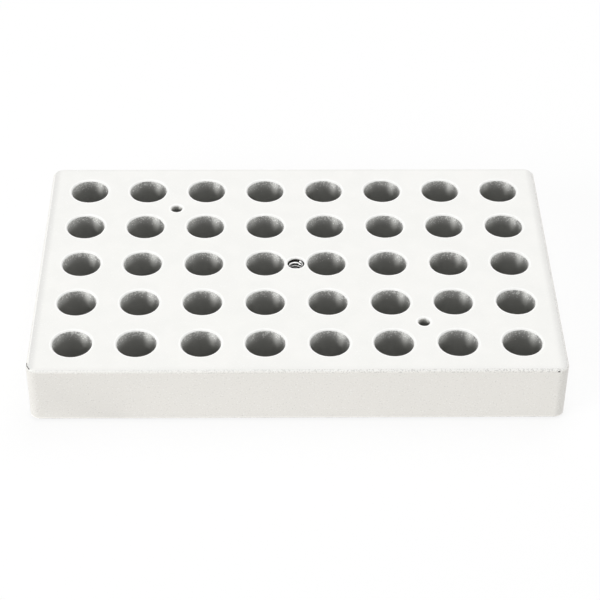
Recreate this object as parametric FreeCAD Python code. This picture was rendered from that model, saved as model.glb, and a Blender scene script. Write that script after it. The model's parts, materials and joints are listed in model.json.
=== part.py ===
import FreeCAD, Part
import math
import os

# Interchangeable heating block of a dry block heater, with forty vial wells. Millimetres.
# X runs along the columns of wells, Y along the rows from the front to the back, Z is up.
# The origin is the middle of the underside, which lies on the hot plate of the heater.

INCH = 25.4

# Plate
plate_thickness = 0.75 * INCH
end_margin = 0.5 * INCH  # from the axes of the outer columns to the end faces
side_margin = 0.5 * INCH  # from the axes of the outer rows to the long faces
corner_radius = 0.125 * INCH
edge_break = 0.03 * INCH

# Vial wells, in a square grid about the middle of the plate
well_columns = 8
well_rows = 5
well_pitch = 0.75 * INCH
well_diameter = 15 / 32 * INCH
well_floor = 3.0  # metal left under each well, flat as a vial's bottom
well_floor_break = 0.5
well_mouth_break = 0.3

# Fixing holes, right through the plate, on one diagonal and each in the middle of four wells
fixing_hole_diameter = 0.144 * INCH
fixing_hole_break = 0.2
fixing_pitches_x = 2.0
fixing_pitches_y = 1.5

# Lifting thread in the middle of the plate: a wire insert, wound from steel, in a drilled hole
insert_bore_diameter = 5.3
insert_bore_floor = 5.0  # metal left under the point of its bore
insert_bore_break = 0.2
insert_clearance = 0.02  # all round, between the insert and its bore
insert_recess = 0.1  # from the top face down to the first turn
insert_length = 0.285 * INCH
insert_inner_diameter = 3.8

# Cutting
drill_point_angle = 118.0
overrun = 1.0  # of a cutter beyond the face that it cuts

plate_length = (well_columns - 1) * well_pitch + 2 * end_margin
plate_depth = (well_rows - 1) * well_pitch + 2 * side_margin
top = plate_thickness


def revolved(profile):
    """Turn a closed (radius, height) outline about the Z axis."""
    points = [FreeCAD.Vector(radius, 0, height) for radius, height in profile]
    face = Part.Face(Part.makePolygon(points + points[:1]))
    return face.revolve(FreeCAD.Vector(0, 0, 0), FreeCAD.Vector(0, 0, 1), 360)


def placed(shape, x, y):
    """A copy of a shape, moved over the plate."""
    return shape.translated(FreeCAD.Vector(x, y, 0))


def grid(count):
    """Places of a row of wells, about zero."""
    return [(i - (count - 1) / 2) * well_pitch for i in range(count)]


def plate():
    """The bare plate: rounded upright corners, and all its edges broken."""
    corner = FreeCAD.Vector(-plate_length / 2, -plate_depth / 2, 0)
    body = Part.makeBox(plate_length, plate_depth, plate_thickness, corner)
    upright = [e for e in body.Edges if e.BoundBox.ZLength > plate_thickness / 2]
    body = body.makeFillet(corner_radius, upright)
    outline = [e for e in body.Edges if e.BoundBox.ZLength < plate_thickness / 2]
    return body.makeChamfer(edge_break, outline)


def flat_bottom(diameter):
    """Outline of a well's floor, from the middle out to the wall."""
    radius = diameter / 2
    return [(0, well_floor), (radius - well_floor_break, well_floor), (radius, well_floor + well_floor_break)]


def drill_point(diameter, tip):
    """Outline of the cone that a drill leaves, from its tip out to the wall."""
    radius = diameter / 2
    return [(0, tip), (radius, tip + radius / math.tan(math.radians(drill_point_angle / 2)))]


def hole(diameter, bottom, mouth_break):
    """Cutter for a round hole from the top face down, with a broken edge at its mouth."""
    radius = diameter / 2
    return revolved(bottom + [
        (radius, top - mouth_break),
        (radius + mouth_break + overrun, top + overrun),
        (0, top + overrun),
    ])


def heating_block():
    """The machined plate, with its wells, its fixing holes and the hole for the insert."""
    well = hole(well_diameter, flat_bottom(well_diameter), well_mouth_break)
    cutters = [placed(well, x, y) for x in grid(well_columns) for y in grid(well_rows)]
    beyond = -fixing_hole_diameter  # the drill's point goes right out of the underside
    fixing = hole(fixing_hole_diameter, drill_point(fixing_hole_diameter, beyond), fixing_hole_break)
    x = fixing_pitches_x * well_pitch
    y = fixing_pitches_y * well_pitch
    cutters += [placed(fixing, -x, y), placed(fixing, x, -y)]
    insert_bottom = drill_point(insert_bore_diameter, insert_bore_floor)
    cutters.append(hole(insert_bore_diameter, insert_bottom, insert_bore_break))
    return plate().cut(cutters)


def thread_insert():
    """The space that the wound insert takes up: a plain sleeve."""
    outer = insert_bore_diameter / 2 - insert_clearance
    inner = insert_inner_diameter / 2
    high = top - insert_recess
    low = high - insert_length
    return revolved([(inner, low), (outer, low), (outer, high), (inner, high)])


os.makedirs("parts", exist_ok=True)
heating_block().exportStep("parts/heating_block.step")
thread_insert().exportStep("parts/thread_insert.step")
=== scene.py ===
"""Looks of a heating block: blasted aluminium, bare wells and a wound thread insert, in a white studio."""

import json
import math

import bpy
from mathutils import Matrix, Vector


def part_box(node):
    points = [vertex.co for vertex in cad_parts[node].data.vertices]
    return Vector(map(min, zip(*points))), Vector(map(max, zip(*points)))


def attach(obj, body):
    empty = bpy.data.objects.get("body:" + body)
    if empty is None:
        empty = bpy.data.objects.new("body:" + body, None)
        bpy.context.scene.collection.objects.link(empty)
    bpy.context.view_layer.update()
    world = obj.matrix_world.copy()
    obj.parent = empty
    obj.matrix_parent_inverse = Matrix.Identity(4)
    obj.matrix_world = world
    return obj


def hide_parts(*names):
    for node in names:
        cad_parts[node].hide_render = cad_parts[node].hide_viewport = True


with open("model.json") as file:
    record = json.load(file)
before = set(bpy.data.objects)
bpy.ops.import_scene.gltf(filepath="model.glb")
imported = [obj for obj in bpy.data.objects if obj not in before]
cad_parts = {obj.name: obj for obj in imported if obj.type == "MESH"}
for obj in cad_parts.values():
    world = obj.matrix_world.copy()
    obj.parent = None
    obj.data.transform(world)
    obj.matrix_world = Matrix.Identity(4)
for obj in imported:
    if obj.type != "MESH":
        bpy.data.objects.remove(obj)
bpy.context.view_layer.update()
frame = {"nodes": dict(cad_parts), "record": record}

MM = 0.001
INCH = 0.0254

# Camera, solved from the grid of wells in the photograph: degrees, metres and pixels
CAMERA_AZIMUTH = -1.28
CAMERA_ELEVATION = 39.35
CAMERA_ROLL = 0.66
CAMERA_DISTANCE = 0.5749
CAMERA_TARGET = Vector((0.0010, -0.0182, 0.01905))
FOCAL_PIXELS = 1891.5
IMAGE_WIDTH = 600
SENSOR_MM = 36.0

# Studio. The lamps are soft and aim at the middle of the top face: shape, place, width and height, watts
LAMPS = {
    "top_lamp": ("RECTANGLE", Vector((0.22, 0.5, 1.2)), (1.2, 1.6), 9.0),
    "left_lamp": ("ELLIPSE", Vector((-1.02, -0.58, 0.42)), (0.95, 0.52), 8.2),
    "right_lamp": ("RECTANGLE", Vector((1.17, -0.28, 0.36)), (0.8, 0.42), 2.2),
}
WORLD_STRENGTH = 0.51
FLOOR_HALF = 4.0
FLOOR_GLOW = 0.8  # share of the floor's white that shadows don't reach
FLOOR = ((0.94, 0.94, 0.94), (0.95, 0.95, 0.95))

# Thread insert: the wire's pitch, its section in shares of the pitch, and its upper end
THREADS_PER_INCH = 24
CREST_SHARE = 0.14
ROOT_SHARE = 0.9
BACK_SHARE = 0.5  # against the bore
CREST_ROUNDING = 0.3  # of half the crest
THREAD_DEPTH = 0.42 * MM
COIL_DROP = 0.2 * MM  # from the top of its space to the upper end
COIL_STEPS_PER_TURN = 64
COIL_START = math.radians(57)  # where the upper end lies
STEEL = ((0.92, 0.92, 0.91), (0.99, 0.99, 0.98))
# painted shade in the thread's roots
STEEL_ROOT_SHADE = (0.02, 0.02, 0.02)

# Outside of the block
BLASTED = ((0.905, 0.904, 0.890), (0.955, 0.954, 0.940))  # between the grains and on them
CLOUDED = (0.94, 0.938, 0.924)
# painted shade: upright faces darker and a little warmer than the top
UPRIGHT_SHADE = (0.865, 0.85, 0.82)
# painted shade on the rounded upright corners
CORNER_SHADE = (0.72, 0.71, 0.69)
BORDER_SHADE = (0.78, 0.775, 0.765)  # painted shade near the ends and sides of the top face
GLINT = (0.97, 0.97, 0.96)
PIT = (0.62, 0.61, 0.59)
# painted highlight along the lower edge
EDGE_HIGHLIGHT = (0.98, 0.97, 0.94)
# painted contact shadow on the lower break and underside
CONTACT_SHADOW = (0.36, 0.355, 0.34)
MOUTH_HIGHLIGHT = (0.98, 0.98, 0.97)  # painted highlight round each mouth
WORN = (0.55, 0.545, 0.53)

# Holes of the block
BARE = ((0.36, 0.36, 0.34), (0.48, 0.48, 0.455))  # in bands round the wall
BARE_LIT_ABOVE = (0.65, 0.65, 0.63)  # near the mouth: painted light, fading to painted shade deeper down
BARE_METALLIC = 0.8  # the rest of a bare wall scatters light
# pale flecks of stray blasting, also used as painted light just inside each mouth
OVERSPRAY_AND_PAINTED_LIGHT = (0.95, 0.95, 0.93)
OVERSPRAY_FADE = 60  # per metre of depth
FIXING_SHADE_AND_LIGHT = ((0.27, 0.27, 0.255), (0.85, 0.85, 0.82))  # painted shade deep down, painted light near the mouth
# painted shade in the insert's bore below the mouth
BORE_SHADE = (0.07, 0.065, 0.06)
LEAN = 8.0  # height of the rounding at each mouth, in heights of the grain

# Two scratches in the front upper edge, the left one bent round the corner: from, to, half width
NICKS = (
    (Vector((-0.0792, -0.0462, 0.01846)), Vector((-0.0790, -0.0478, 0.01866)), 0.0002),
    (Vector((-0.0790, -0.0478, 0.01866)), Vector((-0.0782, -0.0493, 0.01885)), 0.0002),
    (Vector((0.0760, -0.0507, 0.0184)), Vector((0.0763, -0.0507, 0.0184)), 0.00022),
)
NICK = (0.12, 0.12, 0.11)

mounts = {m["name"]: m for m in frame["record"]["mounts"]}
block_low, block_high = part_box("heating_block")
insert_low, insert_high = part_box("thread_insert")
insert_inner = mounts["lifting_thread"]["dims"]["r_mm"] * MM
well = mounts["well_a1"]
well_radius = well["dims"]["r_mm"] * MM
well_pitch = mounts["well_a2"]["pos_m"][0] - well["pos_m"][0]
wall_foot = well["pos_m"][2] - well["dims"]["length_mm"] * MM / 2
fixing_radius = mounts["fixing_holes"]["dims"]["hole_r_mm"] * MM
fixing_place = Vector((-2 * well_pitch, 1.5 * well_pitch, 0))


class Graph:
    """Short ways to build one material's nodes."""

    def __init__(self, name):
        self.material = bpy.data.materials.new(name)
        self.material.use_nodes = True
        self.nodes = self.material.node_tree.nodes
        self.links = self.material.node_tree.links
        self.nodes.clear()

    def put(self, value, socket):
        """Link a socket to another, or set its constant."""
        if isinstance(value, bpy.types.NodeSocket):
            self.links.new(value, socket)
        else:
            socket.default_value = value

    def math(self, operation, a, b=0.0, clamp=False):
        node = self.nodes.new("ShaderNodeMath")
        node.operation = operation
        node.use_clamp = clamp
        self.put(a, node.inputs[0])
        self.put(b, node.inputs[1])
        return node.outputs[0]

    def total(self, first, *others):
        for other in others:
            first = self.math("ADD", first, other)
        return first

    def product(self, first, *others):
        for other in others:
            first = self.math("MULTIPLY", first, other)
        return first

    def least(self, first, *others):
        for other in others:
            first = self.math("MINIMUM", first, other)
        return first

    def most(self, first, *others):
        for other in others:
            first = self.math("MAXIMUM", first, other)
        return first

    def step(self, value, low, high):
        """0 at low, 1 at high and a smooth way between; low may be the larger."""
        node = self.nodes.new("ShaderNodeMapRange")
        node.interpolation_type = "SMOOTHSTEP"
        self.put(value, node.inputs["Value"])
        rising = high > low
        node.inputs["From Min"].default_value = min(low, high)
        node.inputs["From Max"].default_value = max(low, high)
        node.inputs["To Min"].default_value = 0.0 if rising else 1.0
        node.inputs["To Max"].default_value = 1.0 if rising else 0.0
        return node.outputs["Result"]

    def blend(self, factor, a, b):
        """Number a where factor is 0 and b where it is 1."""
        node = self.nodes.new("ShaderNodeMix")
        self.put(factor, node.inputs["Factor"])
        self.put(a, node.inputs["A"])
        self.put(b, node.inputs["B"])
        return node.outputs["Result"]

    def tint(self, factor, a, b):
        """Colour a where factor is 0 and b where it is 1."""
        node = self.nodes.new("ShaderNodeMix")
        node.data_type = "RGBA"
        self.put(factor, node.inputs["Factor"])
        self.put(a if isinstance(a, bpy.types.NodeSocket) else (*a, 1.0), node.inputs[6])
        self.put(b if isinstance(b, bpy.types.NodeSocket) else (*b, 1.0), node.inputs[7])
        return node.outputs[2]

    def place(self):
        """Object coordinates, in metres."""
        return self.nodes.new("ShaderNodeTexCoord").outputs["Object"]

    def split(self, vector):
        node = self.nodes.new("ShaderNodeSeparateXYZ")
        self.put(vector, node.inputs[0])
        return node.outputs

    def vector(self, operation, a, b):
        node = self.nodes.new("ShaderNodeVectorMath")
        node.operation = operation
        self.put(a, node.inputs[0])
        self.put(b, node.inputs[1])
        return node.outputs["Value" if operation in ("DISTANCE", "DOT_PRODUCT") else "Vector"]

    def length(self, x, y):
        return self.math("SQRT", self.total(self.product(x, x), self.product(y, y)))

    def from_upright(self, x, y, axis):
        """How far (x, y) is from an upright axis."""
        return self.length(self.math("SUBTRACT", x, axis[0]), self.math("SUBTRACT", y, axis[1]))

    def from_line(self, place, start, end):
        """How far a place is from the straight stretch between two points."""
        along = end - start
        offset = self.vector("SUBTRACT", place, start)
        reach = self.vector("DOT_PRODUCT", offset, along)
        share = self.math("DIVIDE", reach, along.length_squared, clamp=True)
        return self.vector("DISTANCE", offset, self.vector("MULTIPLY", along, share))

    def noise(self, vector, size, detail=2.0, roughness=0.5):
        """Cloudy noise about 0.5 whose lumps are about size across, in metres."""
        node = self.nodes.new("ShaderNodeTexNoise")
        self.put(vector, node.inputs["Vector"])
        node.inputs["Scale"].default_value = 1.0 / size
        node.inputs["Detail"].default_value = detail
        node.inputs["Roughness"].default_value = roughness
        return node.outputs["Fac"]

    def bump(self, height, depth):
        """Relief in which a height of 1 stands for depth in metres."""
        node = self.nodes.new("ShaderNodeBump")
        node.inputs["Strength"].default_value = 1.0
        node.inputs["Distance"].default_value = depth
        self.put(height, node.inputs["Height"])
        return node.outputs["Normal"]

    def upward(self):
        """A direction along upright walls, tilted a little so that level faces have one too."""
        node = self.nodes.new("ShaderNodeCombineXYZ")
        for socket, value in zip(node.inputs, (0.02, 0.01, 1.0)):
            socket.default_value = value
        return node.outputs[0]

    def principled(self, **values):
        shader = self.nodes.new("ShaderNodeBsdfPrincipled")
        for name, value in values.items():
            self.put(value, shader.inputs[name.replace("_", " ")])
        return shader.outputs[0]

    def finished(self, shader):
        """The material, with a shader joined to its output."""
        output = self.nodes.new("ShaderNodeOutputMaterial")
        self.links.new(shader, output.inputs["Surface"])
        return self.material


class BlockPlaces:
    """Where a point of the block lies, in metres from what its finish depends on."""

    def __init__(self, g):
        self.point = g.place()
        self.x, y, self.height = g.split(self.point)
        self.depth = g.math("SUBTRACT", block_high.z, self.height)

        across = self.from_grid(g, self.x, well["pos_m"][0])
        along = self.from_grid(g, y, well["pos_m"][1])
        well_wall = g.math("SUBTRACT", g.length(across, along), well_radius)
        fixing_axes = [g.from_upright(self.x, y, place) for place in (fixing_place, -fixing_place)]
        self.fixing_wall = g.math("SUBTRACT", g.least(*fixing_axes), fixing_radius)
        self.wall = g.least(well_wall, self.fixing_wall)
        self.bore_wall = g.math("SUBTRACT", g.from_upright(self.x, y, (0, 0)), insert_high.x)
        self.rim = g.least(self.wall, self.bore_wall)

        self.end = g.math("SUBTRACT", block_high.x, g.math("ABSOLUTE", self.x))
        self.side = g.math("SUBTRACT", block_high.y, g.math("ABSOLUTE", y))
        self.corner = g.most(self.end, self.side)
        level = g.least(self.depth, self.height)
        self.edge = g.most(g.least(self.end, self.side), g.least(self.corner, level))

    @staticmethod
    def from_grid(g, value, first):
        """How far a coordinate is from the nearest line of wells, signed."""
        turns = g.math("DIVIDE", g.math("SUBTRACT", value, first), well_pitch)
        part = g.math("FRACT", g.math("ADD", turns, 0.5))
        return g.product(g.math("SUBTRACT", part, 0.5), well_pitch)


def blasted_colour(g, at, grain, worn):
    """The outside: near white; painted shade makes upright faces darker and a little warmer; a painted
    highlight line and painted contact shadow run along the lower edge.
    """
    fine = g.noise(at.point, 0.45 * MM, detail=1.0)
    cloud = g.noise(at.point, 9 * MM)
    on_top = g.step(at.depth, 0.15 * MM, 0.05 * MM)
    upright = g.step(at.depth, 0.2 * MM, 0.9 * MM)

    colour = g.tint(grain, *BLASTED)
    colour = g.tint(g.step(cloud, 0.35, 0.65), colour, CLOUDED)
    # painted shade: upright faces darker and a little warmer than the top
    colour = g.tint(g.product(upright, 0.7), colour, UPRIGHT_SHADE)
    # painted shade: the rounded upright corners a little darker
    corner = g.step(at.corner, 3.4 * MM, 1.8 * MM)
    colour = g.tint(g.product(corner, upright, 0.12), colour, CORNER_SHADE)
    # painted shade along the ends and sides of the top face
    by_end = g.step(at.end, 3.2 * MM, 0.8 * MM)
    by_side = g.step(at.side, 2.4 * MM, 0.8 * MM)
    border_shade = g.most(by_end, g.product(by_side, 0.25))
    colour = g.tint(g.product(border_shade, on_top, 0.5), colour, BORDER_SHADE)

    colour = g.tint(g.product(g.step(fine, 0.64, 0.72), 0.6), colour, GLINT)
    colour = g.tint(g.product(g.step(fine, 0.36, 0.28), upright, 0.3), colour, PIT)

    # The lower edge: a painted highlight line, and painted contact shadow on the break and the underside
    # below it
    edge_highlight = g.product(g.step(at.height, 1.25 * MM, 1.0 * MM), g.step(at.height, 0.7 * MM, 0.8 * MM))
    colour = g.tint(g.product(edge_highlight, 0.7), colour, EDGE_HIGHLIGHT)
    contact_shadow = g.step(at.height, 0.75 * MM, 0.65 * MM)
    colour = g.tint(g.product(contact_shadow, 0.8), colour, CONTACT_SHADOW)

    # painted highlight: a pale ring round each mouth
    mouth_highlight = g.product(g.step(at.depth, 0.55 * MM, 0.45 * MM), g.step(at.rim, 0.85 * MM, 0.5 * MM))
    colour = g.tint(mouth_highlight, colour, MOUTH_HIGHLIGHT)
    return g.tint(worn, colour, WORN)


def hole_colour(g, at, rings, overspray):
    """Bare drilled walls, paler towards the mouth as painted light and darker deeper down as painted
    shade, with flecks of stray blasting just inside it.
    """
    colour = g.tint(rings, *BARE)
    # painted light near the mouth, painted shade deeper down
    colour = g.tint(g.step(at.depth, 5 * MM, 0.5 * MM), colour, BARE_LIT_ABOVE)
    # a little painted light just inside each mouth
    colour = g.tint(g.product(g.step(at.depth, 2.5 * MM, 0.3 * MM), 0.1), colour, OVERSPRAY_AND_PAINTED_LIGHT)
    colour = g.tint(overspray, colour, OVERSPRAY_AND_PAINTED_LIGHT)
    # painted shade deep in the fixing holes, painted light near their mouths
    fixing = g.tint(g.step(at.depth, 2.4 * MM, 0.6 * MM), *FIXING_SHADE_AND_LIGHT)
    return g.tint(g.step(at.fixing_wall, 0.25 * MM, 0.12 * MM), colour, fixing)


def blasted_aluminium():
    """Bead blasted outside and worn at the edges, bare in the wells and holes."""
    g = Graph("blasted_aluminium")
    at = BlockPlaces(g)
    grain = g.noise(at.point, 0.25 * MM, detail=3.0, roughness=0.6)
    fleck = g.noise(at.point, 0.5 * MM, roughness=0.6)
    rings = g.noise(g.vector("MULTIPLY", at.point, (1, 1, 9)), 1.6 * MM, detail=3.0)

    above_floor = g.step(at.height, wall_foot - 1.2 * MM, wall_foot - 0.8 * MM)
    in_hole = g.product(g.step(at.wall, 0.25 * MM, 0.12 * MM), above_floor)
    bare = g.product(in_hole, g.step(at.depth, 0.42 * MM, 0.50 * MM))
    # painted shade: the insert's bore blackened below the mouth
    bore_shade = g.product(g.step(at.bore_wall, 0.16 * MM, 0.08 * MM), g.step(at.depth, 0.55 * MM, 0.65 * MM))
    overspray = g.step(g.math("SUBTRACT", fleck, g.product(at.depth, OVERSPRAY_FADE)), 0.43, 0.50)
    smooth = g.product(bare, g.math("SUBTRACT", 1.0, overspray))

    # The broken edges wear in specks, more so towards the right-hand end
    broken = g.step(at.edge, 1.0 * MM, 0.7 * MM)
    wear = g.blend(g.step(at.x, -70 * MM, 50 * MM), 0.1, 0.3)
    worn = g.product(broken, g.step(fleck, 0.50, 0.60), wear)

    colour = g.tint(bare, blasted_colour(g, at, grain, worn), hole_colour(g, at, rings, overspray))
    colour = g.tint(bore_shade, colour, BORE_SHADE)
    rough = g.blend(broken, g.blend(grain, 0.84, 0.98), 0.95)
    rough = g.blend(bare, rough, 0.85)
    rough = g.blend(smooth, rough, g.blend(rings, 0.5, 0.6))
    relief = g.blend(bare, grain, g.blend(0.4, rings, fleck))
    mouth = g.product(g.step(at.rim, 0.25 * MM, 0.12 * MM), g.step(at.depth, 0.25 * MM, 0.6 * MM))
    relief = g.total(relief, g.product(mouth, LEAN))
    for start, end, radius in NICKS:
        away = g.total(g.from_line(at.point, start, end), g.product(grain, radius))
        dent = g.step(away, 1.5 * radius, radius)
        colour = g.tint(dent, colour, NICK)
        relief = g.math("SUBTRACT", relief, dent)
    return g.finished(g.principled(
        Base_Color=colour,
        Metallic=g.blend(bare, 1.0, BARE_METALLIC),
        Roughness=rough,
        Anisotropic=smooth,
        Tangent=g.upward(),
        Normal=g.bump(relief, 0.03 * MM),
    ))


def insert_steel():
    """Bright drawn wire: fine scratches round the turns, and painted shade blackening it where the turns
    meet the hole.
    """
    g = Graph("insert_steel")
    place = g.place()
    x, y, _ = g.split(place)
    # painted shade: the wire blackened where the turns meet the hole
    root_shade = g.step(g.length(x, y), insert_inner + 0.26 * MM, insert_inner + 0.34 * MM)
    scratch = g.noise(g.vector("MULTIPLY", place, (1, 1, 6)), 0.5 * MM, detail=3.0)
    return g.finished(g.principled(
        Base_Color=g.tint(root_shade, g.tint(scratch, *STEEL), STEEL_ROOT_SHADE),
        Metallic=1.0,
        Roughness=g.blend(scratch, 0.15, 0.3),
        Normal=g.bump(scratch, 0.01 * MM),
    ))


def floor_white():
    """White floor: mostly plain white to the eye and in reflections, so that its shadow is faint."""
    g = Graph("floor_white")
    cloud = g.noise(g.place(), 0.3, detail=1.0)
    lit = g.principled(Base_Color=g.tint(cloud, *FLOOR), Roughness=0.9, Specular_IOR_Level=0.0)
    white = g.nodes.new("ShaderNodeEmission")
    path = g.nodes.new("ShaderNodeLightPath").outputs
    seen = g.most(path["Is Camera Ray"], path["Is Glossy Ray"], path["Is Transmission Ray"])
    mix = g.nodes.new("ShaderNodeMixShader")
    g.put(g.product(seen, FLOOR_GLOW), mix.inputs["Fac"])
    g.links.new(lit, mix.inputs[1])
    g.links.new(white.outputs[0], mix.inputs[2])
    return g.finished(mix.outputs[0])


def thread_coil(material):
    """The wound insert: a wire with a thread's section, in one unbroken right-handed helix."""
    outer = insert_high.x
    inner = insert_inner
    pitch = INCH / THREADS_PER_INCH
    crest = CREST_SHARE * pitch / 2
    root = ROOT_SHARE * pitch / 2
    back = BACK_SHARE * pitch / 2
    soft = CREST_ROUNDING * crest
    section = [
        (outer, -back),
        (inner + THREAD_DEPTH, -root),
        (inner + soft, -crest - soft),
        (inner, -crest + soft),
        (inner, crest - soft),
        (inner + soft, crest + soft),
        (inner + THREAD_DEPTH, root),
        (outer, back),
    ]
    top = insert_high.z - COIL_DROP - root
    turns = (top - root - insert_low.z) / pitch
    steps = round(turns * COIL_STEPS_PER_TURN)
    verts = []
    for i in range(steps + 1):
        wound = turns * i / steps
        angle = COIL_START - 2 * math.pi * wound
        middle = top - pitch * wound
        verts += [(r * math.cos(angle), r * math.sin(angle), middle + h) for r, h in section]
    n = len(section)
    faces = []
    for i in range(steps):
        for k in range(n):
            a = i * n + k
            b = i * n + (k + 1) % n
            faces.append((a, b, b + n, a + n))
    faces.append(tuple(range(n - 1, -1, -1)))
    faces.append(tuple(range(steps * n, steps * n + n)))
    mesh = bpy.data.meshes.new("thread_coil")
    mesh.from_pydata(verts, [], faces)
    mesh.materials.append(material)
    mesh.shade_smooth()
    coil = bpy.data.objects.new("thread_coil", mesh)
    bpy.context.scene.collection.objects.link(coil)
    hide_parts("thread_insert")
    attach(coil, "root")


def dress(node, material):
    """Give a CAD node its finish."""
    slots = frame["nodes"][node].data.materials
    slots.clear()
    slots.append(material)


def lamp(name, shape, place, size, watts):
    """A soft lamp, aimed at the middle of the top face."""
    light = bpy.data.lights.new(name, "AREA")
    light.shape = shape
    light.size, light.size_y = size
    light.energy = watts
    obj = bpy.data.objects.new(name, light)
    obj.location = place
    target = Vector((0, 0, block_high.z))
    obj.rotation_euler = (target - place).to_track_quat("-Z", "Y").to_euler()
    bpy.context.scene.collection.objects.link(obj)


def studio():
    """White floor, an even white world, a lamp over the block and a softbox on each side."""
    corners = [(-1, -1), (1, -1), (1, 1), (-1, 1)]
    mesh = bpy.data.meshes.new("floor")
    mesh.from_pydata([(x * FLOOR_HALF, y * FLOOR_HALF, 0) for x, y in corners], [], [(0, 1, 2, 3)])
    mesh.materials.append(floor_white())
    floor = bpy.data.objects.new("floor", mesh)
    bpy.context.scene.collection.objects.link(floor)

    world = bpy.data.worlds.new("studio")
    world.use_nodes = True
    background = world.node_tree.nodes["Background"]
    background.inputs["Color"].default_value = (1, 1, 1, 1)
    background.inputs["Strength"].default_value = WORLD_STRENGTH
    bpy.context.scene.world = world

    for name, settings in LAMPS.items():
        lamp(name, *settings)


def camera():
    """The photograph's camera."""
    azimuth = math.radians(CAMERA_AZIMUTH)
    elevation = math.radians(CAMERA_ELEVATION)
    back = Vector((
        math.sin(azimuth) * math.cos(elevation),
        -math.cos(azimuth) * math.cos(elevation),
        math.sin(elevation),
    ))
    right = Vector((math.cos(azimuth), math.sin(azimuth), 0))
    level = Matrix((right, back.cross(right), back)).transposed()
    roll = Matrix.Rotation(math.radians(CAMERA_ROLL), 3, "Z")
    place = Matrix.Translation(CAMERA_TARGET + back * CAMERA_DISTANCE)
    data = bpy.data.cameras.new("camera")
    data.sensor_width = SENSOR_MM
    data.lens = FOCAL_PIXELS / IMAGE_WIDTH * SENSOR_MM
    data.clip_start = 0.01
    obj = bpy.data.objects.new("camera", data)
    obj.matrix_world = place @ (level @ roll).to_4x4()
    bpy.context.scene.collection.objects.link(obj)
    bpy.context.scene.camera = obj


bpy.context.scene.view_settings.view_transform = "Standard"
dress("heating_block", blasted_aluminium())
thread_coil(insert_steel())
studio()
camera()
